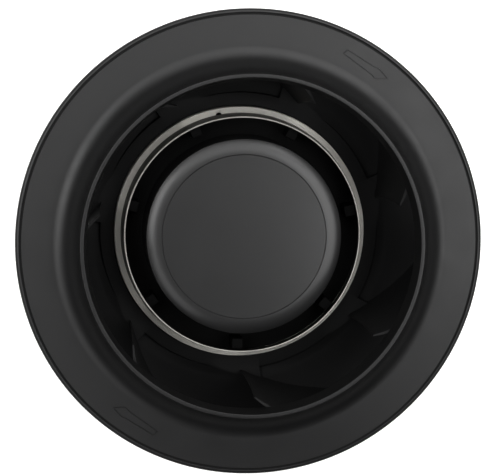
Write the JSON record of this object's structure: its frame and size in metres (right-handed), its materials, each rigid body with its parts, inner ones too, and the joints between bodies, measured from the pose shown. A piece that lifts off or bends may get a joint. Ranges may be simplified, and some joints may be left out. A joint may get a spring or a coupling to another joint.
{
  "type": "plug fan",
  "caption": "Free-running centrifugal fan: a shrouded wheel of backward-curved blades, turned by the external-rotor motor in its hub, on a flat-backed round housing.",
  "frame": {"origin": "on the fan axis, in the plane of the motor's rear mounting face", "axes": "+Z along the fan axis towards the inlet, +X towards the right of the fan as seen from the inlet, with the cable gland at -Y"},
  "size_m": [0.25, 0.25, 0.1191],
  "materials": {
    "moulded_black": "satin, glass-filled",
    "zinc_steel": "zinc plated",
    "coated_black": "satin coating",
    "ferrite": "bonded ferrite",
    "ground_steel": "ground",
    "lamination_steel": "stacked sheet",
    "white_nylon": "moulded",
    "enamelled_copper": "enamelled wire",
    "cast_aluminium": "die cast",
    "board_green": "solder mask",
    "can_aluminium": "drawn",
    "black_rubber": "moulded"
  },
  "bodies": {
    "stator": {"stator_housing": "cast_aluminium", "stator_core": "lamination_steel", "front_insulator": "white_nylon", "rear_insulator": "white_nylon", "coil_1": "enamelled_copper", "coil_2": "enamelled_copper", "coil_3": "enamelled_copper", "coil_4": "enamelled_copper", "coil_5": "enamelled_copper", "coil_6": "enamelled_copper", "coil_7": "enamelled_copper", "coil_8": "enamelled_copper", "coil_9": "enamelled_copper", "coil_10": "enamelled_copper", "coil_11": "enamelled_copper", "coil_12": "enamelled_copper", "front_bearing_outer_race": "ground_steel", "front_bearing_balls": "ground_steel", "rear_bearing_outer_race": "ground_steel", "rear_bearing_balls": "ground_steel", "circuit_board": "board_green", "capacitor_1": "can_aluminium", "capacitor_2": "can_aluminium", "choke": "enamelled_copper", "power_module": "moulded_black", "terminal_block": "white_nylon", "board_screw_1": "zinc_steel", "board_screw_2": "zinc_steel", "board_screw_3": "zinc_steel", "electronics_cover": "moulded_black", "cover_screw_1": "zinc_steel", "cover_screw_2": "zinc_steel", "cover_screw_3": "zinc_steel", "cover_screw_4": "zinc_steel", "cable_grommet": "black_rubber"},
    "rotor": {"front_shroud": "moulded_black", "back_plate": "moulded_black", "blade_1": "moulded_black", "blade_2": "moulded_black", "blade_3": "moulded_black", "blade_4": "moulded_black", "blade_5": "moulded_black", "blade_6": "moulded_black", "blade_7": "moulded_black", "hub_ring": "zinc_steel", "rotor_bell": "coated_black", "magnet_ring": "ferrite", "shaft": "ground_steel", "shaft_circlip": "ground_steel", "preload_washer": "ground_steel", "front_bearing_inner_race": "ground_steel", "rear_bearing_inner_race": "ground_steel"}
  },
  "joints": [
    {"name": "rotor_spin", "type": "hinge", "parent": "stator", "child": "rotor", "pos_m": [0, 0, 0.05], "axis": [0, 0, 1], "continuous": true}
  ]
}
